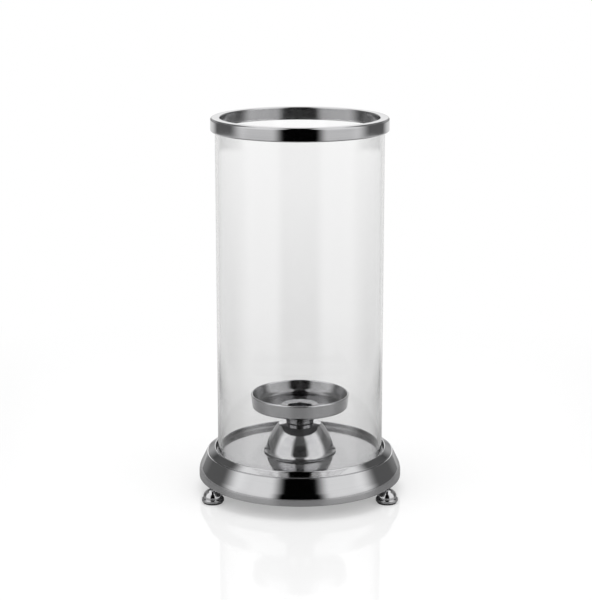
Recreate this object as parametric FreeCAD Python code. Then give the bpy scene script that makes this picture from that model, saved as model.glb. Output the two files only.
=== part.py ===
import FreeCAD, Part
import math
import os

# Candle lantern: a glass cylinder with a metal ring round its top stands in the recess of a
# stepped round base on three ball feet, round a pedestal that carries a candle dish.
# Millimetres, +Z up. The origin is on the axis, on the plane that the feet stand on.

# Glass cylinder
glass_outer_radius = 75.0
glass_wall = 2.6
glass_height = 304.6
glass_edge_round = 0.8

# Top ring, a turned channel pushed over the glass on a soft liner
ring_outer_wall = 3.2
ring_inner_wall = 1.0
ring_web = 1.6
ring_outer_height = 12.1
ring_inner_height = 10.0
ring_outer_round = 2.0
ring_inner_round = 1.2
ring_hem_round = 1.4
liner_leg = 0.6
liner_web = 0.7
liner_leg_length = 6.5

# Base casting, from the recess outwards and from the rim of its foot upwards
recess_gap = 2.1
recess_depth = 5.0
rim_thickness = 1.6
upper_band_run = 5.7
upper_band_rise = 3.0
step_width = 0.8
step_rise = 0.6
main_band_run = 7.2
main_band_rise = 14.8
main_band_round = 16.0
lower_band_height = 8.2
lower_edge_round = 0.8
foot_rim_width = 8.4
recess_wall = 2.5
cavity_top_width = 2.0
cavity_top_depth = 7.0
ledge_width = 7.0
ledge_thickness = 2.6

# Floor plate in the recess
plate_thickness = 1.5
plate_margin = 0.4

# Ball feet, each on a soft pad and held by a threaded stud
foot_angles = {"front_left": 210.0, "front_right": 330.0, "rear": 90.0}
foot_inset = 2.2
foot_height = 11.3
foot_flange_radius = 10.0
foot_flange_thickness = 3.2
foot_flange_round = 1.2
foot_dome_radius = 8.6
foot_top_radius = 3.0
pad_thickness = 1.2
pad_margin = 1.2
pad_edge_round = 0.3
stud_radius = 2.0
stud_length = 14.4
stud_depth_in_foot = 7.0
stud_end_room = 0.4

# Pedestal bell
bell_height = 26.9
bell_lip_radius = 33.0
bell_lip_height = 1.0
bell_foot_inset = 0.6
bell_flare_run = 1.5
bell_flare_rise = 1.8
bell_flare_hollow = 0.3
bell_flank_bulge = 2.3
bell_shoulder_radius = 19.4
bell_shoulder_drop = 0.8
bell_shoulder_bulge = 0.15
bell_seat_margin = 0.5
bell_wall = 2.4
bell_roof = 3.2

# Neck between bell and dish, flared like a goblet
neck_length = 13.6
neck_foot_radius = 12.4
neck_rim_inset = 2.4
neck_bulge = 0.15
neck_web = 1.6

# Candle socket and dish
socket_bore_radius = 11.0
socket_wall = 0.5
socket_floor = 3.0
mouth_radius = 17.0
mouth_depth = 1.4
dish_sheet = 1.2
dish_lip_radius = 44.6
dish_lip_thickness = 1.8
dish_heel_radius = 43.3
dish_heel_wall = 3.3
dish_depth = 11.6
dish_heel_round = 1.6
dish_inner_round = 8.0

# Bolt that ties socket, neck, bell and floor plate together
bolt_radius = 2.5
bolt_head_radius = 4.6
bolt_head_height = 2.2
bolt_tail = 2.2
washer_radius = 7.5
washer_thickness = 1.2
nut_height = 4.0
nut_sides = 6
nut_flats_share = 1.6

# Clearances
fit_gap = 0.1
bolt_gap = 0.25

# Drawing of round stretches: how far a chord may leave its arc, and how much of a straight edge
# a rounding may take up, where the edge's other end is rounded too and where it isn't
chord_error = 0.12
shared_edge = 0.48
whole_edge = 0.95

# Heights of the seats, from the ground up
foot_bottom = pad_thickness
base_bottom = foot_bottom + foot_height
lower_band_top = base_bottom + lower_band_height
main_band_top = lower_band_top + main_band_rise
rim_crest_radius = rim_thickness / 2
rim_shoulder = main_band_top + step_rise + upper_band_rise
rim_top = rim_shoulder + rim_crest_radius
floor_top = rim_top - recess_depth
plate_bottom = floor_top - plate_thickness
bell_top = floor_top + bell_height
neck_top = bell_top + neck_length
glass_top = floor_top + glass_height
ring_top = glass_top + liner_web + ring_web

# Radii of the fits, from the glass outwards
glass_inner_radius = glass_outer_radius - glass_wall
groove_outer_radius = glass_outer_radius + liner_leg + 2 * fit_gap
groove_inner_radius = glass_inner_radius - liner_leg - 2 * fit_gap
ring_outer_radius = groove_outer_radius + ring_outer_wall
ring_inner_radius = groove_inner_radius - ring_inner_wall
recess_radius = glass_outer_radius + recess_gap
plate_seat_radius = glass_outer_radius + plate_margin
rim_outer_radius = recess_radius + rim_thickness
upper_band_radius = rim_outer_radius + upper_band_run
main_band_top_radius = upper_band_radius + step_width
base_radius = main_band_top_radius + main_band_run
foot_pitch_radius = base_radius - foot_inset
bolt_hole_radius = bolt_radius + bolt_gap
stud_hole_radius = stud_radius + fit_gap
stud_depth_in_base = stud_length - stud_depth_in_foot

# Radii and heights round the candle socket, whose mouth is a shallow cone
socket_outer_radius = socket_bore_radius + socket_wall
neck_bore_radius = socket_outer_radius + fit_gap
neck_rim_radius = mouth_radius - neck_rim_inset
mouth_slope = mouth_depth / (mouth_radius - socket_bore_radius)
dish_under_cone = fit_gap
dish_over_cone = dish_under_cone + dish_sheet
flange_under_cone = dish_over_cone + fit_gap
flange_over_cone = flange_under_cone + socket_wall
dish_bottom = neck_top + mouth_slope * (mouth_radius - neck_bore_radius) + dish_under_cone
dish_floor_top = dish_bottom + dish_sheet
dish_lip_top = dish_floor_top + dish_depth
socket_cup_bottom = bell_top + neck_web
socket_cup_floor = socket_cup_bottom + socket_floor
nut_bottom = plate_bottom - washer_thickness - nut_height


def corner(radius, height, rounding=0.0, bulge=0.0):
    """A corner of a half section; bulge bows the edge that leads to it away from the solid."""
    return FreeCAD.Vector(radius, 0, height), rounding, bulge


def arc_points(start, middle, end):
    """Points along an arc through three points, few, but so that no chord leaves it too far."""
    rise = (middle - (start + end) * 0.5).Length
    chords_each_side = math.ceil(math.sqrt(rise / chord_error) / 2)
    return Part.Arc(start, middle, end).discretize(2 * chords_each_side + 1)


def bowed_edge(start, end, bulge):
    """Points from start to end; bulge bows them to the right of the way they run."""
    if not bulge:
        return [start, end]
    along = (end - start).normalize()
    outward = FreeCAD.Vector(along.z, 0, -along.x)
    return arc_points(start, (start + end) * 0.5 + outward * bulge, end)


def rounded_corner(before, here, after):
    """Points of the arc that rounds a corner between two straight edges, or the bare corner."""
    point, rounding, bulge = here
    if not rounding:
        return [point]
    back = before[0] - point
    ahead = after[0] - point
    half_angle = back.getAngle(ahead) / 2
    room_behind = back.Length * (shared_edge if before[1] else whole_edge)
    room_ahead = ahead.Length * (shared_edge if after[1] else whole_edge)
    reach = min(rounding / math.tan(half_angle), room_behind, room_ahead)
    radius = reach * math.tan(half_angle)
    back.normalize()
    ahead.normalize()
    inward = (back + ahead).normalize()
    middle = point + inward * (radius / math.sin(half_angle) - radius)
    return arc_points(point + back * reach, middle, point + ahead * reach)


def turned(corners):
    """Solid of revolution about the axis; corners run anticlockwise in radius and height."""
    count = len(corners)
    rounds = []
    for index, here in enumerate(corners):
        rounds.append(rounded_corner(corners[index - 1], here, corners[(index + 1) % count]))
    points = []
    for index, here in enumerate(corners):
        edge = bowed_edge(rounds[index - 1][-1], rounds[index][0], here[2])
        points.extend(edge[1:])
        points.extend(rounds[index][1:])
    half_section = Part.Face(Part.makePolygon(points + points[:1]))
    return half_section.revolve(FreeCAD.Vector(0, 0, 0), FreeCAD.Vector(0, 0, 1), 360)


def mouth_cone(radius, lift):
    """Height at a radius of the cone on which neck, dish and socket lie on each other."""
    return neck_top + mouth_slope * (radius - neck_bore_radius) + lift


def around_axis(shape, pitch_radius, angle):
    """Copy of a shape that was made on the axis, moved out to a place on the pitch circle."""
    direction = math.radians(angle)
    place = FreeCAD.Vector(pitch_radius * math.cos(direction), pitch_radius * math.sin(direction), 0)
    return shape.translated(place)


def glass_cylinder():
    """Tube with fire-polished ends, standing on the floor plate."""
    return turned([
        corner(glass_inner_radius, floor_top, glass_edge_round),
        corner(glass_outer_radius, floor_top, glass_edge_round),
        corner(glass_outer_radius, glass_top, glass_edge_round),
        corner(glass_inner_radius, glass_top, glass_edge_round),
    ])


def ring_liner():
    """Soft channel over the top edge of the glass, hidden in the ring."""
    leg_bottom = glass_top - liner_leg_length
    web_top = glass_top + liner_web
    return turned([
        corner(groove_inner_radius + fit_gap, leg_bottom),
        corner(glass_inner_radius - fit_gap, leg_bottom),
        corner(glass_inner_radius - fit_gap, glass_top),
        corner(glass_outer_radius + fit_gap, glass_top),
        corner(glass_outer_radius + fit_gap, leg_bottom),
        corner(groove_outer_radius - fit_gap, leg_bottom),
        corner(groove_outer_radius - fit_gap, web_top),
        corner(groove_inner_radius + fit_gap, web_top),
    ])


def top_ring():
    """Channel with a deep outer band, a flat rounded top and a thin inner band."""
    groove_top = glass_top + liner_web
    outer_hem = ring_top - ring_outer_height
    inner_hem = ring_top - ring_inner_height
    return turned([
        corner(ring_inner_radius, inner_hem),
        corner(groove_inner_radius, inner_hem),
        corner(groove_inner_radius, groove_top),
        corner(groove_outer_radius, groove_top),
        corner(groove_outer_radius, outer_hem),
        corner(ring_outer_radius, outer_hem, ring_hem_round),
        corner(ring_outer_radius, ring_top, ring_outer_round),
        corner(ring_inner_radius, ring_top, ring_inner_round),
    ])


def base_plinth():
    """Cast ring with stepped bands outside, a beaded rim, a recess and a ledge for the plate."""
    ledge_bottom = plate_bottom - ledge_thickness
    cavity_inner_radius = recess_radius + recess_wall
    cavity_top = rim_top - cavity_top_depth
    cove = recess_radius - plate_seat_radius
    cove_hollow = cove * (1 - math.sqrt(0.5))
    ring = turned([
        corner(base_radius - foot_rim_width, base_bottom),
        corner(base_radius, base_bottom, lower_edge_round),
        corner(base_radius, lower_band_top, main_band_round),
        corner(main_band_top_radius, main_band_top),
        corner(upper_band_radius, main_band_top),
        corner(upper_band_radius, main_band_top + step_rise),
        corner(rim_outer_radius, rim_shoulder),
        corner(recess_radius, rim_shoulder, 0, rim_crest_radius),
        corner(recess_radius, floor_top + cove),
        corner(plate_seat_radius, floor_top, 0, -cove_hollow),
        corner(plate_seat_radius, plate_bottom),
        corner(plate_seat_radius - ledge_width, plate_bottom),
        corner(plate_seat_radius - ledge_width, ledge_bottom),
        corner(cavity_inner_radius, ledge_bottom),
        corner(cavity_inner_radius, cavity_top),
        corner(cavity_inner_radius + cavity_top_width, cavity_top),
    ])
    hole_start = FreeCAD.Vector(0, 0, base_bottom)
    hole = Part.makeCylinder(stud_hole_radius, stud_depth_in_base + stud_end_room, hole_start)
    for angle in foot_angles.values():
        ring = ring.cut(around_axis(hole, foot_pitch_radius, angle))
    return ring


def floor_plate():
    """Polished disc on the ledge; the glass and the pedestal stand on it."""
    radius = plate_seat_radius - fit_gap
    return turned([
        corner(bolt_hole_radius, plate_bottom),
        corner(radius, plate_bottom),
        corner(radius, floor_top),
        corner(bolt_hole_radius, floor_top),
    ])


def ball_foot():
    """Turned foot with a rounded flange, a dome and a blind hole for its stud, on the axis."""
    flange_top = foot_bottom + foot_flange_thickness
    hole_bottom = base_bottom - stud_depth_in_foot - stud_end_room
    dome_run = foot_dome_radius - foot_top_radius
    dome_rise = base_bottom - flange_top
    quarter_bow = 2 * dome_run * dome_rise / math.hypot(dome_run, dome_rise) * (math.sqrt(0.5) - 0.5)
    return turned([
        corner(0, foot_bottom),
        corner(foot_flange_radius, foot_bottom, foot_flange_round),
        corner(foot_flange_radius, flange_top, foot_flange_round),
        corner(foot_dome_radius, flange_top),
        corner(foot_top_radius, base_bottom, 0, quarter_bow),
        corner(stud_hole_radius, base_bottom),
        corner(stud_hole_radius, hole_bottom),
        corner(0, hole_bottom),
    ])


def foot_pad():
    """Soft disc under a foot, on the axis."""
    radius = foot_flange_radius - pad_margin
    return turned([
        corner(0, 0),
        corner(radius, 0, pad_edge_round),
        corner(radius, pad_thickness),
        corner(0, pad_thickness),
    ])


def foot_stud():
    """Threaded stud, half in the foot and half in the base, on the axis."""
    start = FreeCAD.Vector(0, 0, base_bottom - stud_depth_in_foot)
    return Part.makeCylinder(stud_radius, stud_length, start)


def pedestal_bell():
    """Hollow bell, flared to a thin lip at its foot; the neck stands on a flat on its domed top."""
    lip_top = floor_top + bell_lip_height
    flare_top = lip_top + bell_flare_rise
    flank_radius = bell_lip_radius - bell_flare_run
    foot_bore = flank_radius - bell_wall
    hollow_top = bell_top - bell_roof
    return turned([
        corner(foot_bore, floor_top),
        corner(bell_lip_radius - bell_foot_inset, floor_top),
        corner(bell_lip_radius, lip_top),
        corner(flank_radius, flare_top, 0, -bell_flare_hollow),
        corner(bell_shoulder_radius, bell_top - bell_shoulder_drop, 0, bell_flank_bulge),
        corner(neck_foot_radius + bell_seat_margin, bell_top, 0, bell_shoulder_bulge),
        corner(bolt_hole_radius, bell_top),
        corner(bolt_hole_radius, hollow_top),
        corner(bell_shoulder_radius - bell_wall, hollow_top),
        corner(foot_bore, flare_top, 0, -bell_flank_bulge),
    ])


def neck():
    """Goblet that widens up to its coned rim, which carries the dish; the socket hangs in it."""
    return turned([
        corner(bolt_hole_radius, bell_top),
        corner(neck_foot_radius, bell_top),
        corner(neck_rim_radius, mouth_cone(neck_rim_radius, 0), 0, neck_bulge),
        corner(neck_bore_radius, neck_top),
        corner(neck_bore_radius, socket_cup_bottom),
        corner(bolt_hole_radius, socket_cup_bottom),
    ])


def candle_dish():
    """Cast pan with a rounded lip; its floor is dimpled down to the hole for the socket."""
    inner_heel_radius = dish_heel_radius - dish_heel_wall
    lip_seam = dish_lip_top - dish_lip_thickness / 2
    return turned([
        corner(neck_bore_radius, mouth_cone(neck_bore_radius, dish_under_cone)),
        corner(mouth_radius, dish_bottom),
        corner(dish_heel_radius, dish_bottom, dish_heel_round),
        corner(dish_lip_radius, lip_seam),
        corner(dish_lip_radius - dish_lip_thickness, lip_seam, 0, dish_lip_thickness / 2),
        corner(inner_heel_radius, dish_floor_top, dish_inner_round),
        corner(mouth_radius, dish_floor_top),
        corner(neck_bore_radius, mouth_cone(neck_bore_radius, dish_over_cone)),
    ])


def candle_socket():
    """Turned cup for a taper candle; its coned flange lies in the dimple of the dish."""
    return turned([
        corner(bolt_hole_radius, socket_cup_bottom),
        corner(socket_outer_radius, socket_cup_bottom),
        corner(socket_outer_radius, mouth_cone(socket_outer_radius, flange_under_cone)),
        corner(mouth_radius, mouth_cone(mouth_radius, flange_under_cone)),
        corner(mouth_radius, mouth_cone(mouth_radius, flange_over_cone)),
        corner(socket_bore_radius, mouth_cone(socket_bore_radius, flange_over_cone)),
        corner(socket_bore_radius, socket_cup_floor),
        corner(bolt_head_radius + bolt_gap, socket_cup_floor),
        corner(bolt_hole_radius, socket_cup_floor - bolt_head_height),
    ])


def centre_bolt():
    """Countersunk bolt from the floor of the socket down through the floor plate."""
    tail = nut_bottom - bolt_tail
    return turned([
        corner(0, tail),
        corner(bolt_radius, tail),
        corner(bolt_radius, socket_cup_floor - bolt_head_height),
        corner(bolt_head_radius, socket_cup_floor),
        corner(0, socket_cup_floor),
    ])


def centre_washer():
    """Flat washer under the floor plate."""
    bottom = plate_bottom - washer_thickness
    return turned([
        corner(bolt_hole_radius, bottom),
        corner(washer_radius, bottom),
        corner(washer_radius, plate_bottom),
        corner(bolt_hole_radius, plate_bottom),
    ])


def centre_nut():
    """Hexagon nut on the bolt, against the washer."""
    corner_radius = nut_flats_share * bolt_radius / math.cos(math.pi / nut_sides)
    angles = [2 * math.pi * index / nut_sides for index in range(nut_sides + 1)]
    hexagon = Part.makePolygon([
        FreeCAD.Vector(corner_radius * math.cos(angle), corner_radius * math.sin(angle), nut_bottom)
        for angle in angles
    ])
    body = Part.Face(hexagon).extrude(FreeCAD.Vector(0, 0, nut_height))
    thread = Part.makeCylinder(bolt_radius + fit_gap, nut_height, FreeCAD.Vector(0, 0, nut_bottom))
    return body.cut(thread)


def save(name, shape):
    """One file for each node."""
    shape.exportStep(os.path.join("parts", name + ".step"))


os.makedirs("parts", exist_ok=True)

single_pieces = [
    glass_cylinder, ring_liner, top_ring, base_plinth, floor_plate, pedestal_bell, neck,
    candle_dish, candle_socket, centre_bolt, centre_washer, centre_nut,
]
for make_piece in single_pieces:
    save(make_piece.__name__, make_piece())

studs = []
for place, angle in foot_angles.items():
    save("foot_" + place, around_axis(ball_foot(), foot_pitch_radius, angle))
    save("foot_pad_" + place, around_axis(foot_pad(), foot_pitch_radius, angle))
    studs.append(around_axis(foot_stud(), foot_pitch_radius, angle))
save("foot_studs", Part.makeCompound(studs))
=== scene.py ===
import math

import bmesh
import bpy
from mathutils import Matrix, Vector


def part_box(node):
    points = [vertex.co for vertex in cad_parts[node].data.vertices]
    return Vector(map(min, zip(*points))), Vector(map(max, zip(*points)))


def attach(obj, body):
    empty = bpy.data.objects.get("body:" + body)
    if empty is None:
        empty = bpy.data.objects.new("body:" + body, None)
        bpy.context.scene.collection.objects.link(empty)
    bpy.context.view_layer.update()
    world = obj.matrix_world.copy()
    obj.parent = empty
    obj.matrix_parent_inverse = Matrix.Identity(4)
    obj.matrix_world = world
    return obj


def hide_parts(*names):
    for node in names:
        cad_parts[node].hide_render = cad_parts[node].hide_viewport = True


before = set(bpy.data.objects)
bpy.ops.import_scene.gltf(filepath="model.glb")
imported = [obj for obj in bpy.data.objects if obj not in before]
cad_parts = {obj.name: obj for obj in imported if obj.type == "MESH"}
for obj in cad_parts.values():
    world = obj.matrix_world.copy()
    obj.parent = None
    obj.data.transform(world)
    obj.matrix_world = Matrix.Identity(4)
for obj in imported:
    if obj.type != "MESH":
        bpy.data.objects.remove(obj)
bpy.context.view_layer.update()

# Candle lantern, dressed for looks: metres, +Z up, origin on the axis at the ground.
mm = 0.001
scene = bpy.context.scene
scene.view_settings.view_transform = "Standard"

# Detail of the turned meshes: steps round the axis, along an arc and round a corner, and the share of
# an edge that a rounding may take up
turn_steps = 192
foot_turn_steps = 96
pad_turn_steps = 64
arc_steps = 12
round_steps = 5
round_share = 0.45
sharp_angle = math.radians(40)
fine_edge = 0.25 * mm
crisp_edge = 0.1 * mm
merge_distance = 0.001 * mm


# Camera

camera_distance = 1.5242
camera_height = 0.5308
camera_tilt = math.radians(13.098)
camera_lens = 104.16
camera_sensor = 36
camera_shift = -0.0065

camera_data = bpy.data.cameras.new("camera")
camera_data.lens = camera_lens
camera_data.sensor_width = camera_sensor
camera_data.shift_x = camera_shift
camera = bpy.data.objects.new("camera", camera_data)
camera.location = (0, -camera_distance, camera_height)
camera.rotation_euler = (math.radians(90) - camera_tilt, 0, 0)
scene.collection.objects.link(camera)
scene.camera = camera


# Node helpers

def linear(hex_colour):
    """Linear colour with alpha from an sRGB hex colour."""
    channels = []
    for start in (0, 2, 4):
        value = int(hex_colour[start:start + 2], 16) / 255
        channels.append(value / 12.92 if value <= 0.04045 else ((value + 0.055) / 1.055) ** 2.4)
    return (*channels, 1.0)


def add_node(tree, kind, settings=None, links=None):
    """A node with its settings, on sockets or on the node itself, and its links."""
    node = tree.nodes.new(kind)
    for name, value in (settings or {}).items():
        if isinstance(name, int) or name in node.inputs:
            node.inputs[name].default_value = value
        else:
            setattr(node, name, value)
    for name, source in (links or {}).items():
        tree.links.new(source, node.inputs[name])
    return node


def new_material(name):
    """An empty material: its node tree and the output node."""
    material = bpy.data.materials.new(name)
    material.use_nodes = True
    material.node_tree.nodes.clear()
    output = add_node(material.node_tree, "ShaderNodeOutputMaterial")
    return material, material.node_tree, output


# Materials

glass_ior = 1.52
rubber_ior = 1.52
acrylic_ior = 1.49

# How much turned lines change round the axis, and where the values of a noise and of the product of
# two noises mostly lie
line_drift = 0.01
noise_span = {"From Min": 0.3, "From Max": 0.7}
noise_product_span = {"From Min": 0.1, "From Max": 0.45}


def turned_coordinates(tree, pitch):
    """Coordinates that stay the same round the axis, in steps of pitch, with a slow drift along X."""
    place = add_node(tree, "ShaderNodeTexCoord")
    flat = add_node(tree, "ShaderNodeVectorMath", {"operation": "MULTIPLY", 1: (1, 1, 0)},
                    {0: place.outputs["Object"]})
    radius = add_node(tree, "ShaderNodeVectorMath", {"operation": "LENGTH"}, {0: flat.outputs["Vector"]})
    parts = add_node(tree, "ShaderNodeSeparateXYZ", None, {0: place.outputs["Object"]})
    drift = add_node(tree, "ShaderNodeMath", {"operation": "MULTIPLY", 1: line_drift},
                     {0: parts.outputs["X"]})
    joined = add_node(tree, "ShaderNodeCombineXYZ", None, {
        "X": radius.outputs["Value"], "Y": parts.outputs["Z"], "Z": drift.outputs["Value"]})
    scaled = add_node(tree, "ShaderNodeVectorMath", {"operation": "SCALE", "Scale": 1 / pitch},
                      {0: joined.outputs["Vector"]})
    return place.outputs["Object"], scaled.outputs["Vector"]


def turned_metal(name, pale, dark, smooth, rough, line_pitch, line_depth, haze_size):
    """Plated metal polished while it turned: rings of fine lines and a cloudy haze of buffing."""
    material, tree, output = new_material(name)
    place, turned = turned_coordinates(tree, line_pitch)
    lines = add_node(tree, "ShaderNodeTexNoise", {"Scale": 1.0, "Detail": 2.0, "Roughness": 0.6},
                     {"Vector": turned})
    haze = add_node(tree, "ShaderNodeTexNoise", {"Scale": 1 / haze_size, "Detail": 3.0, "Roughness": 0.55},
                    {"Vector": place})
    both = add_node(tree, "ShaderNodeMath", {"operation": "MULTIPLY"},
                    {0: lines.outputs["Fac"], 1: haze.outputs["Fac"]})
    polish = add_node(tree, "ShaderNodeMapRange", {**noise_product_span, "To Min": smooth, "To Max": rough},
                      {"Value": both.outputs["Value"]})
    tone = add_node(tree, "ShaderNodeMix", {"data_type": "RGBA", 6: linear(pale), 7: linear(dark)},
                    {0: both.outputs["Value"]})
    bump = add_node(tree, "ShaderNodeBump", {"Strength": 1.0, "Distance": line_depth},
                    {"Height": lines.outputs["Fac"]})
    metal = add_node(tree, "ShaderNodeBsdfPrincipled", {"Metallic": 1.0}, {
        "Base Color": tone.outputs[2], "Roughness": polish.outputs["Result"],
        "Normal": bump.outputs["Normal"]})
    tree.links.new(metal.outputs["BSDF"], output.inputs["Surface"])
    return material


def buffed_metal(name, pale, dark, smooth, rough, haze_size):
    """Plated metal buffed by hand on a soft wheel: a mirror with a faint cloudy haze."""
    material, tree, output = new_material(name)
    place = add_node(tree, "ShaderNodeTexCoord")
    haze = add_node(tree, "ShaderNodeTexNoise", {"Scale": 1 / haze_size, "Detail": 4.0, "Roughness": 0.6},
                    {"Vector": place.outputs["Object"]})
    polish = add_node(tree, "ShaderNodeMapRange", {**noise_span, "To Min": smooth, "To Max": rough},
                      {"Value": haze.outputs["Fac"]})
    tone = add_node(tree, "ShaderNodeMix", {"data_type": "RGBA", 6: linear(pale), 7: linear(dark)},
                    {0: haze.outputs["Fac"]})
    metal = add_node(tree, "ShaderNodeBsdfPrincipled", {"Metallic": 1.0}, {
        "Base Color": tone.outputs[2], "Roughness": polish.outputs["Result"]})
    tree.links.new(metal.outputs["BSDF"], output.inputs["Surface"])
    return material


def moulded_surface(name, pale, dark, smooth, rough, grain_size, grain_depth, grain_noise, shader):
    """A surface as it comes from the mould, dull and with a fine grain; shader holds what it is made of."""
    material, tree, output = new_material(name)
    place = add_node(tree, "ShaderNodeTexCoord")
    grain = add_node(tree, "ShaderNodeTexNoise", {"Scale": 1 / grain_size, **grain_noise},
                     {"Vector": place.outputs["Object"]})
    tone = add_node(tree, "ShaderNodeMix", {"data_type": "RGBA", 6: linear(pale), 7: linear(dark)},
                    {0: grain.outputs["Fac"]})
    polish = add_node(tree, "ShaderNodeMapRange", {"To Min": smooth, "To Max": rough},
                      {"Value": grain.outputs["Fac"]})
    bump = add_node(tree, "ShaderNodeBump", {"Strength": 1.0, "Distance": grain_depth},
                    {"Height": grain.outputs["Fac"]})
    surface = add_node(tree, "ShaderNodeBsdfPrincipled", shader, {
        "Base Color": tone.outputs[2], "Roughness": polish.outputs["Result"],
        "Normal": bump.outputs["Normal"]})
    tree.links.new(surface.outputs["BSDF"], output.inputs["Surface"])
    return material


def drawn_glass(name, tint, lamp_tint, wave_size, wave_depth):
    """Clear drawn tube: colourless, with the faint waviness of its pulling; lamps shine through it."""
    material, tree, output = new_material(name)
    place = add_node(tree, "ShaderNodeTexCoord")
    wave = add_node(tree, "ShaderNodeTexNoise", {"Scale": 1 / wave_size, "Detail": 1.0},
                    {"Vector": place.outputs["Object"]})
    bump = add_node(tree, "ShaderNodeBump", {"Strength": 1.0, "Distance": wave_depth},
                    {"Height": wave.outputs["Fac"]})
    glass = add_node(tree, "ShaderNodeBsdfPrincipled", {
        "Base Color": linear(tint), "Roughness": 0.0, "IOR": glass_ior, "Transmission Weight": 1.0},
        {"Normal": bump.outputs["Normal"]})
    path = add_node(tree, "ShaderNodeLightPath")
    lamp = add_node(tree, "ShaderNodeMath", {"operation": "MAXIMUM"},
                    {0: path.outputs["Is Shadow Ray"], 1: path.outputs["Is Diffuse Ray"]})
    clear = add_node(tree, "ShaderNodeBsdfTransparent", {"Color": linear(lamp_tint)})
    mixed = add_node(tree, "ShaderNodeMixShader", None, {
        0: lamp.outputs["Value"], 1: glass.outputs["BSDF"], 2: clear.outputs["BSDF"]})
    tree.links.new(mixed.outputs["Shader"], output.inputs["Surface"])
    return material


# Real turning lines are a few hundredths of a millimetre apart and mould grain is finer than a tenth;
# both are drawn coarse enough to show.

# Base: a dark mirror whose black and white edges are a little soft across the turning lines
plating_turned = turned_metal(
    "nickel_plating_polished_on_the_lathe", "C8C8C9", "B4B4B6", smooth=0.04, rough=0.09,
    line_pitch=0.7 * mm, line_depth=0.0007 * mm, haze_size=25 * mm)

# Ring: the same mirror, slightly softer, with fine lines that run round its band
plating_fine = turned_metal(
    "nickel_plating_finely_turned", "C8C8C9", "B4B4B6", smooth=0.05, rough=0.10,
    line_pitch=0.9 * mm, line_depth=0.001 * mm, haze_size=30 * mm)

# Floor plate and inside of the ring: an even satin grey that mirrors what stands on it without sparkle
plate_satin = turned_metal(
    "nickel_plating_brushed_on_the_lathe", "B2B2B3", "A6A6A8", smooth=0.09, rough=0.13,
    line_pitch=0.9 * mm, line_depth=0.001 * mm, haze_size=60 * mm)

# Recess wall: a dull band with rings of turning, behind and below the bright rim; its grey is darker than the
# rim's as painted shade in the recess
plating_raw_painted_shade = turned_metal(
    "nickel_plating_unpolished_with_painted_shade", "9C9C9D", "8A8A8C", smooth=0.16, rough=0.26,
    line_pitch=0.8 * mm, line_depth=0.0015 * mm, haze_size=20 * mm)

# Fasteners and the bore of the socket: a pale grey metal with a broad soft gleam
steel_zinc = turned_metal(
    "steel_zinc_plated_and_turned", "B4B6B8", "95989B", smooth=0.22, rough=0.36,
    line_pitch=0.6 * mm, line_depth=0.002 * mm, haze_size=6 * mm)

# Bell, outside of the dish and feet: the brightest and sharpest mirror, with a faint cloudy haze
plating_buffed = buffed_metal(
    "nickel_plating_buffed_bright", "D2D2D3", "C2C2C4", smooth=0.04, rough=0.10, haze_size=12 * mm)

# Inside of the dish, neck and socket: a greyer mirror with patches that blur; the greyer tone is painted
# shade under and inside the dish
plating_painted_shade = buffed_metal(
    "nickel_plating_with_painted_shade", "A6A6A7", "949496", smooth=0.07, rough=0.16, haze_size=9 * mm)

# Underside of the dish: grainy, and dark as painted shade, so that the heel of the dish ends in shade
cast_skin_painted_shade = moulded_surface(
    "nickel_on_cast_skin_with_painted_shade", "787879", "68686A", smooth=0.3, rough=0.42,
    grain_size=1.5 * mm, grain_depth=0.03 * mm, grain_noise={"Detail": 4.0, "Roughness": 0.6},
    shader={"Metallic": 1.0})

# Foot pads: a matt black line under each foot
rubber_black = moulded_surface(
    "rubber_black_moulded", "1C1C1D", "101011", smooth=0.55, rough=0.8,
    grain_size=0.6 * mm, grain_depth=0.02 * mm, grain_noise={"Detail": 3.0}, shader={"IOR": rubber_ior})

# Ring liner: a milky edge between the ring and the glass
silicone_clear = moulded_surface(
    "silicone_milky_moulded", "D9DAD8", "C9CAC8", smooth=0.55, rough=0.8,
    grain_size=1.2 * mm, grain_depth=0.01 * mm, grain_noise={"Detail": 3.0}, shader={"IOR": rubber_ior})

# Glass: clear and almost colourless, with reflections that waver a little
glass_clear = drawn_glass(
    "soda_glass_drawn_tube", tint="FCFCFC", lamp_tint="F5F5F5", wave_size=40 * mm, wave_depth=0.002 * mm)


# Studio. The world is drawn by the direction that a ray leaves in, in parts of 1: aside (to either
# side), along (away from the camera) and up. A span says where an edge starts and ends.

white = linear("FFFFFF")
soft = {"interpolation_type": "SMOOTHSTEP"}

# Tent: white walls and roof on the camera's side, with a slit in the middle
tent_level = 1.12
tent_foot_level = 0.4 * tent_level
tent_foot_span = {"From Min": -0.5, "From Max": 0.15}
tent_back_span = {"From Min": -0.25, "From Max": 0.2}
slit_in_front = 0.385
slit_overhead = 0.16
slit_wall_blur = 0.34
slit_roof_blur = 0.05
slit_blur_span = {"From Min": 0.6, "From Max": 0.95}
roof_reach = 0.72
roof_rise_span = {"From Min": 0.35, "From Max": 0.8}
roof_side_span = {"From Min": 0.35, "From Max": 0.6}

# Backdrop: bright in the middle, dimmer at the sides and towards its foot
backdrop_level = 1.18
backdrop_side_level = 0.5
backdrop_foot_share = 0.5
backdrop_depth_span = {"From Min": 0.38, "From Max": 0.58}
backdrop_middle_span = {"From Min": 0.12, "From Max": 0.3}
backdrop_side_span = {"From Min": 0.55, "From Max": 0.95}
backdrop_top_span = {"From Min": 0.2, "From Max": 0.5}
backdrop_foot_span = {"From Min": -0.1, "From Max": 0.25}

# Room: dim walls at the sides, twice as light higher up
wall_level = 0.14
wall_high_level = 2 * wall_level
wall_rise_span = {"From Min": 0.3, "From Max": 0.45}
wall_front_span = {"From Min": -0.45, "From Max": -0.05}
wall_side_span = {"From Min": 0.2, "From Max": 0.7}

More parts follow.
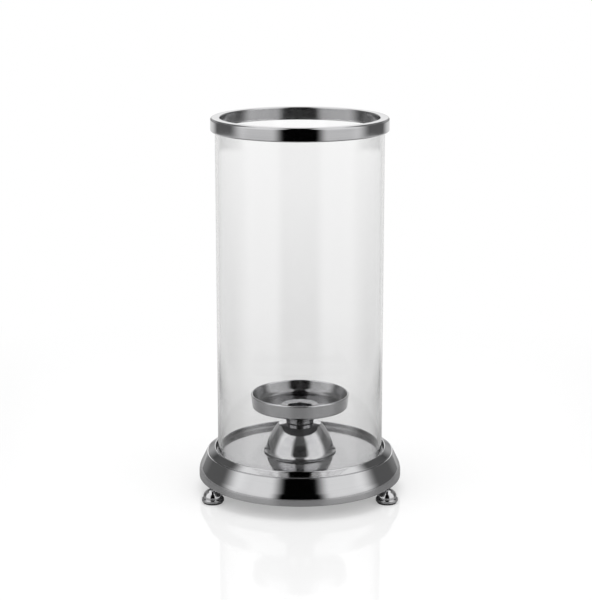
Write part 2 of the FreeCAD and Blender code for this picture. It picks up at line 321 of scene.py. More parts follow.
# Sweep: the white ground beyond the sheet, behind the lantern and at its sides
sweep_level = 0.85
sweep_depth_span = {"From Min": 0.58, "From Max": 0.9}
sweep_top_span = {"From Min": -0.12, "From Max": -0.03}
sweep_side_level = 0.72
sweep_side_span = {"From Min": 0.35, "From Max": 0.6}
sweep_side_top_span = {"From Min": -0.144, "From Max": -0.139}

# View through the glass: paler upwards, lifted in the middle and dimmer low at the sides
view_span = {"From Min": -0.3, "From Max": -0.12}
view_levels = {"To Min": 0.86, "To Max": 1.0}
glow_span = {"From Min": -0.245, "From Max": -0.16}
glow_levels = {"To Min": 0.0, "To Max": 0.085}
glow_middle_span = {"From Min": 0.012, "From Max": 0.023}
dusk_span = {"From Min": -0.23, "From Max": -0.14}
dusk_levels = {"To Min": -0.125, "To Max": -0.01}
dusk_side_span = {"From Min": 0.045, "From Max": 0.095}

# Even light from all round on what is neither metal nor glass
fill_level = 0.55


def tent_light(tree, aside, along, up):
    """Level of the tent: its slit is widest in front and overhead, and its roof reaches over the lantern."""
    depth = add_node(tree, "ShaderNodeMath", {"operation": "MULTIPLY"}, {0: along, 1: along})
    slit_ahead = add_node(tree, "ShaderNodeMath", {"operation": "MULTIPLY", 1: slit_in_front},
                          {0: depth.outputs["Value"]})
    slit_above = add_node(tree, "ShaderNodeMath", {"operation": "MULTIPLY", 1: slit_overhead}, {0: up})
    slit = add_node(tree, "ShaderNodeMath", {"operation": "MAXIMUM"},
                    {0: slit_ahead.outputs["Value"], 1: slit_above.outputs["Value"]})
    past_slit = add_node(tree, "ShaderNodeMath", {"operation": "SUBTRACT"},
                         {0: aside, 1: slit.outputs["Value"]})
    blur = add_node(tree, "ShaderNodeMapRange", {
        **slit_blur_span, "To Min": slit_wall_blur, "To Max": slit_roof_blur}, {"Value": up})
    inner_edge = add_node(tree, "ShaderNodeMapRange", soft, {
        "Value": past_slit.outputs["Value"], "From Max": blur.outputs["Result"]})
    roof_width = add_node(tree, "ShaderNodeMapRange", {
        **soft, **roof_side_span, "To Min": roof_reach, "To Max": 0.0}, {"Value": aside})
    roof_edge = add_node(tree, "ShaderNodeMapRange", roof_rise_span, {
        "Value": up, "To Max": roof_width.outputs["Result"]})
    past_roof = add_node(tree, "ShaderNodeMath", {"operation": "SUBTRACT"},
                         {0: along, 1: roof_edge.outputs["Result"]})
    outer_edge = add_node(tree, "ShaderNodeMapRange", {
        **soft, **tent_back_span, "To Min": 1.0, "To Max": 0.0}, {"Value": past_roof.outputs["Value"]})
    foot = add_node(tree, "ShaderNodeMapRange", {
        **soft, **tent_foot_span, "To Min": tent_foot_level, "To Max": tent_level}, {"Value": up})
    cloth = add_node(tree, "ShaderNodeMath", {"operation": "MULTIPLY"},
                     {0: inner_edge.outputs["Result"], 1: outer_edge.outputs["Result"]})
    tent = add_node(tree, "ShaderNodeMath", {"operation": "MULTIPLY"},
                    {0: cloth.outputs["Value"], 1: foot.outputs["Result"]})
    return tent.outputs["Value"]


def backdrop_light(tree, aside, along, up):
    """Level of the backdrop behind the lantern."""
    behind = add_node(tree, "ShaderNodeMapRange", {**soft, **backdrop_depth_span}, {"Value": along})
    middle = add_node(tree, "ShaderNodeMapRange", {
        **soft, **backdrop_middle_span, "To Min": backdrop_level, "To Max": 0.0}, {"Value": aside})
    top = add_node(tree, "ShaderNodeMapRange", {
        **soft, **backdrop_top_span, "To Min": backdrop_side_level, "To Max": 0.0}, {"Value": up})
    side = add_node(tree, "ShaderNodeMapRange", {**soft, **backdrop_side_span, "To Max": 0.0}, {
        "Value": aside, "To Min": top.outputs["Result"]})
    width = add_node(tree, "ShaderNodeMath", {"operation": "MAXIMUM"},
                     {0: middle.outputs["Result"], 1: side.outputs["Result"]})
    foot = add_node(tree, "ShaderNodeMapRange", {
        **soft, **backdrop_foot_span, "To Min": backdrop_foot_share, "To Max": 1.0}, {"Value": up})
    cloth = add_node(tree, "ShaderNodeMath", {"operation": "MULTIPLY"},
                     {0: behind.outputs["Result"], 1: width.outputs["Value"]})
    backdrop = add_node(tree, "ShaderNodeMath", {"operation": "MULTIPLY"},
                        {0: cloth.outputs["Value"], 1: foot.outputs["Result"]})
    return backdrop.outputs["Value"]


def wall_light(tree, aside, along, up):
    """Level of the room's side walls, which fade out towards the camera."""
    rise = add_node(tree, "ShaderNodeMapRange", {
        **wall_rise_span, "To Min": wall_level, "To Max": wall_high_level}, {"Value": up})
    front = add_node(tree, "ShaderNodeMapRange", {**soft, **wall_front_span}, {
        "Value": along, "To Max": rise.outputs["Result"]})
    wall = add_node(tree, "ShaderNodeMapRange", {**soft, **wall_side_span}, {
        "Value": aside, "To Max": front.outputs["Result"]})
    return wall.outputs["Result"]


def sweep_light(tree, aside, along, up):
    """Level of the white ground beyond the sheet."""
    back = add_node(tree, "ShaderNodeMapRange", {**soft, **sweep_depth_span, "To Max": sweep_level},
                    {"Value": along})
    below = add_node(tree, "ShaderNodeMapRange", {**soft, **sweep_top_span, "To Min": 1.0, "To Max": 0.0},
                     {"Value": up})
    back_below = add_node(tree, "ShaderNodeMath", {"operation": "MULTIPLY"},
                          {0: back.outputs["Result"], 1: below.outputs["Result"]})
    side_below = add_node(tree, "ShaderNodeMapRange", {
        **soft, **sweep_side_top_span, "To Min": sweep_side_level, "To Max": 0.0}, {"Value": up})
    side = add_node(tree, "ShaderNodeMapRange", {**soft, **sweep_side_span}, {
        "Value": aside, "To Max": side_below.outputs["Result"]})
    sweep = add_node(tree, "ShaderNodeMath", {"operation": "MAXIMUM"},
                     {0: back_below.outputs["Value"], 1: side.outputs["Result"]})
    return sweep.outputs["Value"]


def view_through_glass(tree, aside, up):
    """Level of what shows straight through the glass."""
    view = add_node(tree, "ShaderNodeMapRange", {**view_span, **view_levels}, {"Value": up})
    glow = add_node(tree, "ShaderNodeMapRange", {**glow_span, **glow_levels}, {"Value": up})
    glow_middle = add_node(tree, "ShaderNodeMapRange", {**soft, **glow_middle_span, "To Max": 0.0}, {
        "Value": aside, "To Min": glow.outputs["Result"]})
    dusk = add_node(tree, "ShaderNodeMapRange", {**dusk_span, **dusk_levels}, {"Value": up})
    dusk_side = add_node(tree, "ShaderNodeMapRange", {**soft, **dusk_side_span}, {
        "Value": aside, "To Max": dusk.outputs["Result"]})
    lifted = add_node(tree, "ShaderNodeMath", {"operation": "ADD"},
                      {0: view.outputs["Result"], 1: glow_middle.outputs["Result"]})
    dimmed = add_node(tree, "ShaderNodeMath", {"operation": "ADD"},
                      {0: lifted.outputs["Value"], 1: dusk_side.outputs["Result"]})
    return dimmed.outputs["Value"]


def world_light():
    """Plain white to the camera, an even fill on dull things, and a studio for metal and glass to mirror."""
    world = bpy.data.worlds.new("studio")
    world.use_nodes = True
    scene.world = world
    tree = world.node_tree
    tree.nodes.clear()
    place = add_node(tree, "ShaderNodeTexCoord")
    parts = add_node(tree, "ShaderNodeSeparateXYZ", None, {0: place.outputs["Generated"]})
    either_side = add_node(tree, "ShaderNodeMath", {"operation": "ABSOLUTE"}, {0: parts.outputs["X"]})
    aside = either_side.outputs["Value"]
    along = parts.outputs["Y"]
    up = parts.outputs["Z"]
    walls = add_node(tree, "ShaderNodeMath", {"operation": "ADD"}, {
        0: wall_light(tree, aside, along, up), 1: tent_light(tree, aside, along, up)})
    above = add_node(tree, "ShaderNodeMath", {"operation": "MAXIMUM"}, {
        0: walls.outputs["Value"], 1: backdrop_light(tree, aside, along, up)})
    all_round = add_node(tree, "ShaderNodeMath", {"operation": "MAXIMUM"}, {
        0: above.outputs["Value"], 1: sweep_light(tree, aside, along, up)})
    plain = add_node(tree, "ShaderNodeBackground", {"Color": white, "Strength": 1.0})
    fill = add_node(tree, "ShaderNodeBackground", {"Color": white, "Strength": fill_level})
    mirrored = add_node(tree, "ShaderNodeBackground", {"Color": white},
                        {"Strength": all_round.outputs["Value"]})
    behind_glass = add_node(tree, "ShaderNodeBackground", {"Color": white},
                            {"Strength": view_through_glass(tree, aside, up)})
    path = add_node(tree, "ShaderNodeLightPath")
    in_metal = add_node(tree, "ShaderNodeMath", {"operation": "MINIMUM", 1: 1.0},
                        {0: path.outputs["Glossy Depth"]})
    glazed = add_node(tree, "ShaderNodeMixShader", None, {
        0: path.outputs["Is Transmission Ray"], 1: fill.outputs[0], 2: behind_glass.outputs[0]})
    lit = add_node(tree, "ShaderNodeMixShader", None, {
        0: in_metal.outputs["Value"], 1: glazed.outputs[0], 2: mirrored.outputs[0]})
    shown = add_node(tree, "ShaderNodeMixShader", None, {
        0: path.outputs["Is Camera Ray"], 1: lit.outputs[0], 2: plain.outputs[0]})
    output = add_node(tree, "ShaderNodeOutputWorld")
    tree.links.new(shown.outputs[0], output.inputs["Surface"])


# Floor: a glossy white sheet under the lantern. Its spans are distances from the axis and, like the reach of
# the lantern's painted shade on it, in metres.

sheet_colour = "F4F4F4"
# Near the lantern the sheet that metal mirrors is lighter: a painted pool of light
sheet_painted_light_colour = "989898"
sheet_far_colour = "383838"
sheet_roughness = 0.07
sheet_dull_roughness = 0.18
floor_radius = 0.9
floor_drop = 0.05 * mm
floor_glow = 0.38
floor_fade_span = {"From Min": 0.35, "From Max": 0.7}
floor_shade_span = {"From Min": 0.24, "From Max": 0.4}
floor_end_span = {"From Min": 0.3, "From Max": 0.6}
floor_back_span = {"From Min": 0.05, "From Max": 0.25}
floor_middle_span = {"From Min": 0.18, "From Max": 0.3}
shade_reach_in_glass = 0.06
shade_reach_in_metal = 0.18


def sheet_in_sight(tree, distance):
    """The sheet as the camera sees it: gloss near the lantern that fades into the white backdrop."""
    gloss = add_node(tree, "ShaderNodeBsdfPrincipled", {
        "Base Color": linear(sheet_colour), "Roughness": sheet_roughness, "IOR": acrylic_ior})
    plain = add_node(tree, "ShaderNodeEmission", {"Color": white, "Strength": 1.0})
    fade = add_node(tree, "ShaderNodeMapRange", {
        **soft, **floor_fade_span, "To Min": floor_glow, "To Max": 1.0}, {"Value": distance})
    shown = add_node(tree, "ShaderNodeMixShader", None, {
        0: fade.outputs["Result"], 1: gloss.outputs["BSDF"], 2: plain.outputs["Emission"]})
    return shown.outputs["Shader"]


def sheet_thrown_back(tree, place, distance, path):
    """The sheet as metal and glass see it: a painted glow at the back and through glass, dimmed by painted
    shade near the lantern, else dull but for a painted pool of light near it, with no edge.
    """
    shade = add_node(tree, "ShaderNodeMapRange", {**soft, **floor_shade_span}, {"Value": distance})
    tone = add_node(tree, "ShaderNodeMix", {
        "data_type": "RGBA", 6: linear(sheet_painted_light_colour), 7: linear(sheet_far_colour)},
        {0: shade.outputs["Result"]})
    shaded = add_node(tree, "ShaderNodeBsdfPrincipled", {
        "Roughness": sheet_dull_roughness, "IOR": acrylic_ior}, {"Base Color": tone.outputs[2]})
    in_metal = add_node(tree, "ShaderNodeMath", {"operation": "MINIMUM", 1: 1.0},
                        {0: path.outputs["Glossy Depth"]})
    reach = add_node(tree, "ShaderNodeMapRange", {
        "To Min": shade_reach_in_glass, "To Max": shade_reach_in_metal}, {"Value": in_metal.outputs["Value"]})
    reached = add_node(tree, "ShaderNodeMath", {"operation": "ADD"},
                       {0: distance, 1: reach.outputs["Result"]})
    level = add_node(tree, "ShaderNodeMath", {"operation": "DIVIDE"},
                     {0: distance, 1: reached.outputs["Value"]})
    bright = add_node(tree, "ShaderNodeEmission", {"Color": white}, {"Strength": level.outputs["Value"]})
    not_in_metal = add_node(tree, "ShaderNodeMath", {"operation": "SUBTRACT", 0: 1.0},
                            {1: in_metal.outputs["Value"]})
    through_glass = add_node(tree, "ShaderNodeMath", {"operation": "MULTIPLY"}, {
        0: path.outputs["Is Transmission Ray"], 1: not_in_metal.outputs["Value"]})
    parts = add_node(tree, "ShaderNodeSeparateXYZ", None, {0: place})
    at_back = add_node(tree, "ShaderNodeMapRange", {**soft, **floor_back_span}, {"Value": parts.outputs["Y"]})
    aside = add_node(tree, "ShaderNodeMath", {"operation": "ABSOLUTE"}, {0: parts.outputs["X"]})
    at_middle = add_node(tree, "ShaderNodeMapRange", {**soft, **floor_middle_span, "To Max": 0.0}, {
        "Value": aside.outputs["Value"], "To Min": at_back.outputs["Result"]})
    back_in_metal = add_node(tree, "ShaderNodeMath", {"operation": "MULTIPLY"},
                             {0: at_middle.outputs["Result"], 1: in_metal.outputs["Value"]})
    bright_part = add_node(tree, "ShaderNodeMath", {"operation": "MAXIMUM"},
                           {0: through_glass.outputs["Value"], 1: back_in_metal.outputs["Value"]})
    sheet = add_node(tree, "ShaderNodeMixShader", None, {
        0: bright_part.outputs["Value"], 1: shaded.outputs["BSDF"], 2: bright.outputs["Emission"]})
    end = add_node(tree, "ShaderNodeMapRange", {**soft, **floor_end_span}, {"Value": distance})
    beyond = add_node(tree, "ShaderNodeBsdfTransparent")
    ended = add_node(tree, "ShaderNodeMixShader", None, {
        0: end.outputs["Result"], 1: sheet.outputs["Shader"], 2: beyond.outputs["BSDF"]})
    return ended.outputs["Shader"]


def acrylic_sheet(name):
    """Material of the floor: it mirrors the foot of the lantern and fades into the white backdrop."""
    material, tree, output = new_material(name)
    place = add_node(tree, "ShaderNodeTexCoord").outputs["Object"]
    distance = add_node(tree, "ShaderNodeVectorMath", {"operation": "LENGTH"}, {0: place}).outputs["Value"]
    path = add_node(tree, "ShaderNodeLightPath")
    mixed = add_node(tree, "ShaderNodeMixShader", None, {
        0: path.outputs["Is Camera Ray"], 1: sheet_thrown_back(tree, place, distance, path),
        2: sheet_in_sight(tree, distance)})
    tree.links.new(mixed.outputs["Shader"], output.inputs["Surface"])
    return material


def floor_sheet():
    """The floor's disc, just below the feet."""
    mesh = bmesh.new()
    bmesh.ops.create_circle(mesh, cap_ends=True, segments=turn_steps, radius=floor_radius)
    bmesh.ops.translate(mesh, verts=mesh.verts, vec=(0, 0, -floor_drop))
    data = bpy.data.meshes.new("floor")
    mesh.to_mesh(data)
    mesh.free()
    data.materials.append(acrylic_sheet("acrylic_white_cast_sheet"))
    floor = bpy.data.objects.new("floor", data)
    scene.collection.objects.link(floor)


# Lamps: a softbox on either side of the camera and one overhead, places and sizes in metres

side_box_angle = math.radians(58)
side_box_distance = 1.3
side_box_middle = 0.75
side_box_width = 1.9
side_box_height = 2.6
side_box_power = 16
side_box_x = side_box_distance * math.sin(side_box_angle)
side_box_y = -side_box_distance * math.cos(side_box_angle)
top_box_place = (0, 0.1, 1.7)
top_box_size = 0.9
top_box_power = 10


def softbox(name, place, aim, width, height, power):
    """A large flat lamp for soft light; the world is what metal mirrors of the studio."""
    lamp = bpy.data.lights.new(name, "AREA")
    lamp.shape = "RECTANGLE"
    lamp.size = width
    lamp.size_y = height
    lamp.energy = power
    obj = bpy.data.objects.new(name, lamp)
    obj.location = place
    obj.rotation_euler = (Vector(aim) - Vector(place)).to_track_quat("-Z", "Y").to_euler()
    obj.visible_camera = False
    obj.visible_glossy = False
    obj.visible_transmission = False
    scene.collection.objects.link(obj)


world_light()
floor_sheet()
for side, sign in (("left", -1), ("right", 1)):
    softbox("softbox_" + side, (sign * side_box_x, side_box_y, side_box_middle), (0, 0, side_box_middle),
            side_box_width, side_box_height, side_box_power)
softbox("softbox_top", top_box_place, (0, 0, 0), top_box_size, top_box_size, top_box_power)


# Mesh helpers

def corner(radius, height, rounding=fine_edge, bulge=0.0):
    """A corner of a half section; bulge bows the edge that leads to it to the right of its way."""
    return radius, height, rounding, bulge


def bowed_edge(mesh, start, end, bulge):
    """Sweeps a vertex along an arc from start to end; the last vertex."""
    chord = end - start.co
    half = chord.length / 2
    right = Vector((chord.z, 0, -chord.x)).normalized()
    radius = (half * half + bulge * bulge) / (2 * bulge)
    centre = start.co + chord / 2 + right * (bulge - radius)
    swept = bmesh.ops.spin(mesh, geom=[start], cent=centre, axis=(0, -1, 0),
                           angle=4 * math.atan2(bulge, half), steps=arc_steps)
    return [part for part in swept["geom_last"] if isinstance(part, bmesh.types.BMVert)][0]


def quarter_bulge(run, rise):
    """Bulge of an arc that stands for a quarter of an ellipse over a run and a rise."""
    return 2 * run * rise / math.hypot(run, rise) * (math.sqrt(0.5) - 0.5)


def half_section(mesh, corners):
    """Draws the corners' outline; it closes unless both its ends lie on the axis."""
    first = None
    rounded = []
    here = None
    for radius, height, rounding, bulge in corners:
        point = Vector((radius, 0, height))
        if here is None:
            here = first = mesh.verts.new(point)
        elif bulge:
            here = bowed_edge(mesh, here, point, bulge)
        else:
            ahead = mesh.verts.new(point)
            mesh.edges.new((here, ahead))
            here = ahead
        if rounding:
            rounded.append((here, rounding))
    if first.co.x > merge_distance or here.co.x > merge_distance:
        mesh.edges.new((here, first))
    return rounded


def round_corner(mesh, vert, rounding):
    """Rounds a corner of the outline with an arc that touches both its edges."""
    arms = [edge.other_vert(vert).co - vert.co for edge in vert.link_edges]
    half_angle = arms[0].angle(arms[1]) / 2
    reach = min(rounding / math.tan(half_angle), round_share * arms[0].length, round_share * arms[1].length)
    bmesh.ops.bevel(mesh, geom=[vert], offset=reach, offset_type="OFFSET", segments=round_steps,
                    profile=0.5, affect="VERTICES", material=-1)


def turned_mesh(corners, steps=turn_steps):
    """A mesh turned round the Z axis from the corners of its half section."""
    mesh = bmesh.new()
    for vert, rounding in half_section(mesh, corners):
        if len(vert.link_edges) == 2:
            round_corner(mesh, vert, rounding)
    bmesh.ops.spin(mesh, geom=mesh.verts[:] + mesh.edges[:], cent=(0, 0, 0), axis=(0, 0, 1),
                   angle=2 * math.pi, steps=steps, use_merge=True)
    bmesh.ops.remove_doubles(mesh, verts=mesh.verts, dist=merge_distance)
    bmesh.ops.recalc_face_normals(mesh, faces=mesh.faces)
    return mesh


def mark_faces(mesh, material_index, widest, lowest, highest):
    """Gives the faces within a radius and between two heights another of the piece's materials."""
    for face in mesh.faces:
        middle = face.calc_center_median()
        if math.hypot(middle.x, middle.y) < widest and lowest < middle.z < highest:
            face.material_index = material_index


def place_piece(name, mesh, materials, node, body):
    """Makes a piece of a mesh: smooth, with true flats, in the place of its CAD node."""
    data = bpy.data.meshes.new(name)
    mesh.to_mesh(data)
    mesh.free()
    data.shade_smooth()
    data.set_sharp_from_angle(angle=sharp_angle)
    for material in materials:
        data.materials.append(material)
    piece = bpy.data.objects.new(name, data)
    scene.collection.objects.link(piece)
    weighted = piece.modifiers.new("true_flats", "WEIGHTED_NORMAL")
    weighted.keep_sharp = True
    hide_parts(node)
    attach(piece, body)


# Sizes that pieces share, from the CAD boxes

glass_low, glass_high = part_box("glass_cylinder")
ring_low, ring_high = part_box("top_ring")
base_low, base_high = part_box("base_plinth")
plate_low, plate_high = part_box("floor_plate")
bell_low, bell_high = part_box("pedestal_bell")
neck_low, neck_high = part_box("neck")
dish_low, dish_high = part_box("candle_dish")
socket_low, socket_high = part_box("candle_socket")
glass_radius = glass_high.x
glass_wall = 2.6 * mm
fit_gap = 0.1 * mm
bolt_gap = 0.25 * mm
bolt_radius = 2.5 * mm
bolt_hole = bolt_radius + bolt_gap
stud_radius = 2.0 * mm


# Glass cylinder

glass_edge_round = 0.8 * mm
glass_bore = glass_radius - glass_wall
place_piece("glass_tube", turned_mesh([
    corner(glass_bore, glass_low.z, glass_edge_round),
    corner(glass_radius, glass_low.z, glass_edge_round),
    corner(glass_radius, glass_high.z, glass_edge_round),
    corner(glass_bore, glass_high.z, glass_edge_round),
]), [glass_clear], "glass_cylinder", "shade")


# Top ring, with a satin inside

ring_outer_wall = 3.2 * mm
ring_inner_wall = 1.0 * mm
ring_web = 1.6 * mm
ring_inner_height = 10.0 * mm
ring_hem_round = 1.4 * mm
ring_outer_round = 2.0 * mm
ring_inner_round = 1.2 * mm
liner_room = 0.8 * mm
ring_radius = ring_high.x
ring_groove_outer = ring_radius - ring_outer_wall
ring_groove_inner = glass_bore - liner_room
ring_bore = ring_groove_inner - ring_inner_wall
inner_hem = ring_high.z - ring_inner_height
groove_top = ring_high.z - ring_web
ring_mesh = turned_mesh([
    corner(ring_bore, inner_hem),
    corner(ring_groove_inner, inner_hem),
    corner(ring_groove_inner, groove_top, 0),
    corner(ring_groove_outer, groove_top, 0),
    corner(ring_groove_outer, ring_low.z),
    corner(ring_radius, ring_low.z, ring_hem_round),
    corner(ring_radius, ring_high.z, ring_outer_round),
    corner(ring_bore, ring_high.z, ring_inner_round),
])
mark_faces(ring_mesh, 1, ring_bore + fit_gap, inner_hem, ring_high.z)
place_piece("ring_turned", ring_mesh, [plating_fine, plate_satin], "top_ring", "shade")


# Base, with an unpolished recess wall in painted shade

recess_gap = 2.1 * mm
rim_thickness = 1.6 * mm
main_band_overhang = 6.5 * mm
main_band_rise = 14.8 * mm
main_band_round = 16.0 * mm
step_width = 1.2 * mm
step_rise = 0.8 * mm
lower_band_height = 8.2 * mm
lower_edge_round = 0.8 * mm
foot_rim_width = 8.4 * mm
recess_wall = 2.5 * mm
ledge_width = 7.0 * mm
ledge_thickness = 2.6 * mm
cavity_depth = 7.0 * mm
cavity_top_width = 2.0 * mm
base_radius = base_high.x
recess_radius = glass_radius + recess_gap
rim_radius = recess_radius + rim_thickness
rim_crest = rim_thickness / 2
rim_shoulder = base_high.z - rim_crest
main_band_radius = rim_radius + main_band_overhang
upper_band_radius = main_band_radius - step_width
lower_band_top = base_low.z + lower_band_height
main_band_top = lower_band_top + main_band_rise
step_top = main_band_top + step_rise
plate_seat_radius = plate_high.x + fit_gap
cove = recess_radius - plate_seat_radius
cove_hollow = cove * (1 - math.sqrt(0.5))
ledge_radius = plate_seat_radius - ledge_width
ledge_bottom = plate_low.z - ledge_thickness
cavity_radius = recess_radius + recess_wall
cavity_top = base_high.z - cavity_depth
base_mesh = turned_mesh([
    corner(base_radius - foot_rim_width, base_low.z),
    corner(base_radius, base_low.z, lower_edge_round),
    corner(base_radius, lower_band_top, main_band_round),
    corner(main_band_radius, main_band_top),
    corner(upper_band_radius, main_band_top, crisp_edge),
    corner(upper_band_radius, step_top, crisp_edge),
    corner(rim_radius, rim_shoulder, 0),
    corner(recess_radius, rim_shoulder, 0, rim_crest),
    corner(recess_radius, plate_high.z + cove, 0),
    corner(plate_seat_radius, plate_high.z, 0, -cove_hollow),
    corner(plate_seat_radius, plate_low.z, 0),
    corner(ledge_radius, plate_low.z),
    corner(ledge_radius, ledge_bottom),
    corner(cavity_radius, ledge_bottom),
    corner(cavity_radius, cavity_top),
    corner(cavity_radius + cavity_top_width, cavity_top),
])
mark_faces(base_mesh, 1, recess_radius + fit_gap, plate_high.z, rim_shoulder)
place_piece("base_turned", base_mesh, [plating_turned, plating_raw_painted_shade],
            "base_plinth", "stand")


# Floor plate

place_piece("plate_turned", turned_mesh([
    corner(bolt_hole, plate_low.z),
    corner(plate_high.x, plate_low.z),
    corner(plate_high.x, plate_high.z),
    corner(bolt_hole, plate_high.z),
]), [plate_satin], "floor_plate", "stand")


# Pedestal bell

bell_foot_inset = 0.6 * mm
bell_lip_height = 1.2 * mm
bell_flare_run = 2.3 * mm
bell_flare_height = 5.0 * mm
bell_flare_hollow = 0.3 * mm
bell_flank_bulge = 1.35 * mm
bell_wall = 2.4 * mm
bell_roof = 3.2 * mm
bell_shoulder_radius = 19.4 * mm
bell_shoulder_drop = 0.8 * mm
bell_shoulder_round = 1.5 * mm
bell_seat_radius = 12.9 * mm
bell_lip_radius = bell_high.x
bell_lip_top = bell_low.z + bell_lip_height
bell_flank_radius = bell_lip_radius - bell_flare_run
bell_flare_top = bell_low.z + bell_flare_height
bell_bore = bell_flank_radius - bell_wall
bell_shoulder = bell_high.z - bell_shoulder_drop
bell_hollow_top = bell_high.z - bell_roof
place_piece("bell_turned", turned_mesh([
    corner(bell_bore, bell_low.z),
    corner(bell_lip_radius - bell_foot_inset, bell_low.z),
    corner(bell_lip_radius, bell_lip_top),
    corner(bell_flank_radius, bell_flare_top, 0, -bell_flare_hollow),
    corner(bell_shoulder_radius, bell_shoulder, bell_shoulder_round, bell_flank_bulge),
    corner(bell_seat_radius, bell_high.z, 0),
    corner(bolt_hole, bell_high.z),
    corner(bolt_hole, bell_hollow_top),
    corner(bell_shoulder_radius - bell_wall, bell_hollow_top, 0),
    corner(bell_bore, bell_flare_top, 0, -bell_flank_bulge),
]), [plating_buffed], "pedestal_bell", "stand")


# Cone on which the candle socket, the dish and the neck lie on each other

socket_bore = 11.0 * mm
socket_wall = 0.5 * mm
mouth_depth = 1.4 * mm
mouth_radius = socket_high.x
mouth_slope = mouth_depth / (mouth_radius - socket_bore)
socket_outer = socket_bore + socket_wall
neck_radius = neck_high.x
neck_bore = socket_outer + fit_gap
neck_bore_top = neck_high.z - mouth_slope * (neck_radius - neck_bore)
cup_bottom = socket_low.z


def cone_height(radius, lift):
    """Height at a radius on the cone of the socket's mouth, lifted by the sheets that lie on it."""
    return neck_bore_top + mouth_slope * (radius - neck_bore) + lift


# Neck

neck_foot_radius = 12.4 * mm
neck_foot_round = 0.4 * mm
neck_bulge = 0.15 * mm
# The neck's greyer plating is painted shade under the dish
place_piece("neck_turned", turned_mesh([
    corner(bolt_hole, neck_low.z),
    corner(neck_foot_radius, neck_low.z, neck_foot_round),
    corner(neck_radius, neck_high.z, 0, neck_bulge),
    corner(neck_bore, neck_bore_top),
    corner(neck_bore, cup_bottom),
    corner(bolt_hole, cup_bottom),
]), [plating_painted_shade], "neck", "stand")


# Candle dish, with painted shade in its greyer inside and on its rough, dark underside

dish_sheet = 1.2 * mm
dish_dimple_round = 0.8 * mm
dish_heel_radius = 43.3 * mm
dish_heel_round = 1.6 * mm
dish_heel_wall = 3.3 * mm
dish_inner_round = 8.0 * mm
lip_thickness = 1.8 * mm
dish_over_cone = fit_gap + dish_sheet
dish_bottom = cone_height(mouth_radius, fit_gap)
dish_floor = dish_bottom + dish_sheet
dish_lip_radius = dish_high.x
dish_mouth_radius = dish_lip_radius - lip_thickness
lip_crest = lip_thickness / 2
lip_seam = dish_high.z - lip_crest
dish_mesh = turned_mesh([
    corner(neck_bore, cone_height(neck_bore, fit_gap)),
    corner(mouth_radius, dish_bottom, dish_dimple_round),
    corner(dish_heel_radius, dish_bottom, dish_heel_round),
    corner(dish_lip_radius, lip_seam, 0),
    corner(dish_mouth_radius, lip_seam, 0, lip_crest),
    corner(dish_heel_radius - dish_heel_wall, dish_floor, dish_inner_round),
    corner(mouth_radius, dish_floor, dish_dimple_round),
    corner(neck_bore, cone_height(neck_bore, dish_over_cone)),
])
mark_faces(dish_mesh, 1, dish_mouth_radius, dish_bottom + dish_sheet / 2, dish_high.z)
mark_faces(dish_mesh, 2, dish_heel_radius, dish_low.z - fit_gap, dish_bottom + fit_gap)
place_piece("dish_cast", dish_mesh, [plating_buffed, plating_painted_shade, cast_skin_painted_shade],
            "candle_dish", "stand")


# Candle socket, zinc-plated in its bore

cup_floor_thickness = 3.0 * mm
mouth_round = 0.6 * mm
bolt_head_radius = 4.6 * mm
bolt_head_height = 2.2 * mm
flange_under = dish_over_cone + fit_gap
flange_over = flange_under + socket_wall
cup_floor = cup_bottom + cup_floor_thickness
socket_mesh = turned_mesh([
    corner(bolt_hole, cup_bottom),
    corner(socket_outer, cup_bottom),
    corner(socket_outer, cone_height(socket_outer, flange_under)),
    corner(mouth_radius, cone_height(mouth_radius, flange_under), crisp_edge),
    corner(mouth_radius, cone_height(mouth_radius, flange_over), crisp_edge),
    corner(socket_bore, cone_height(socket_bore, flange_over), mouth_round),
    corner(socket_bore, cup_floor, mouth_round),
    corner(bolt_head_radius + bolt_gap, cup_floor),
    corner(bolt_hole, cup_floor - bolt_head_height),
])
mark_faces(socket_mesh, 1, socket_bore + fit_gap, cup_floor, socket_high.z)
# The socket's greyer plating is painted shade inside the dish
place_piece("socket_turned", socket_mesh, [plating_painted_shade, steel_zinc],
            "candle_socket", "stand")


# Ball feet and their pads

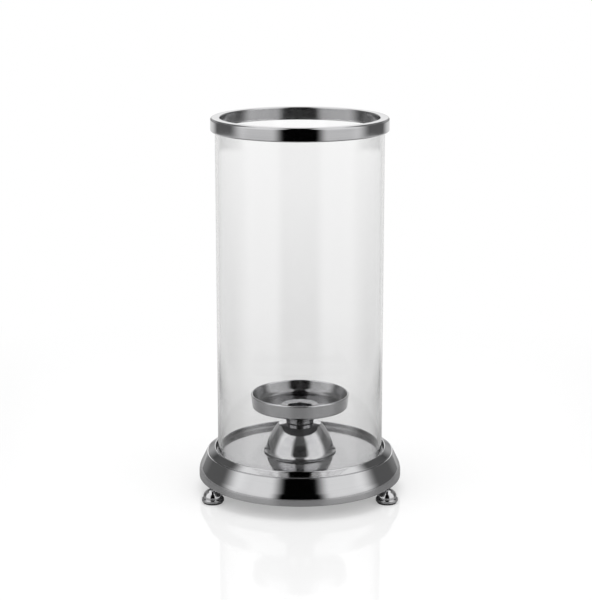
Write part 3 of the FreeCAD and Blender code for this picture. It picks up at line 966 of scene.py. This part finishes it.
foot_flange_thickness = 3.2 * mm
foot_flange_round = 1.2 * mm
foot_dome_radius = 8.6 * mm
foot_top_radius = 3.0 * mm
foot_hole_depth = 7.4 * mm
foot_hole_radius = stud_radius + fit_gap
pad_edge_round = 0.3 * mm


def foot_mesh(low, high):
    """A ball foot on the axis: rounded flange, dome and a blind hole for its stud."""
    flange_radius = (high.x - low.x) / 2
    flange_top = low.z + foot_flange_thickness
    dome_bulge = quarter_bulge(foot_dome_radius - foot_top_radius, high.z - flange_top)
    hole_bottom = high.z - foot_hole_depth
    return turned_mesh([
        corner(0, low.z, 0),
        corner(flange_radius, low.z, foot_flange_round),
        corner(flange_radius, flange_top, foot_flange_round),
        corner(foot_dome_radius, flange_top, 0),
        corner(foot_top_radius, high.z, 0, dome_bulge),
        corner(foot_hole_radius, high.z),
        corner(foot_hole_radius, hole_bottom, 0),
        corner(0, hole_bottom, 0),
    ], foot_turn_steps)


def pad_mesh(low, high):
    """A soft disc on the axis with a rounded lower edge."""
    radius = (high.x - low.x) / 2
    return turned_mesh([
        corner(0, low.z, 0),
        corner(radius, low.z, pad_edge_round),
        corner(radius, high.z, crisp_edge),
        corner(0, high.z, 0),
    ], pad_turn_steps)


for place in ("front_left", "front_right", "rear"):
    foot_low, foot_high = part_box("foot_" + place)
    pad_low, pad_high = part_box("foot_pad_" + place)
    middle = (foot_low + foot_high) / 2
    foot = foot_mesh(foot_low, foot_high)
    bmesh.ops.translate(foot, verts=foot.verts, vec=(middle.x, middle.y, 0))
    place_piece("ball_foot_" + place, foot, [plating_buffed], "foot_" + place, "stand")
    pad = pad_mesh(pad_low, pad_high)
    bmesh.ops.translate(pad, verts=pad.verts, vec=(middle.x, middle.y, 0))
    place_piece("pad_" + place, pad, [rubber_black], "foot_pad_" + place, "stand")


# CAD nodes that stay, in their own materials

kept_nodes = {
    "ring_liner": silicone_clear, "foot_studs": steel_zinc, "centre_bolt": steel_zinc,
    "centre_washer": steel_zinc, "centre_nut": steel_zinc,
}
for node, material in kept_nodes.items():
    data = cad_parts[node].data
    data.materials.clear()
    data.materials.append(material)
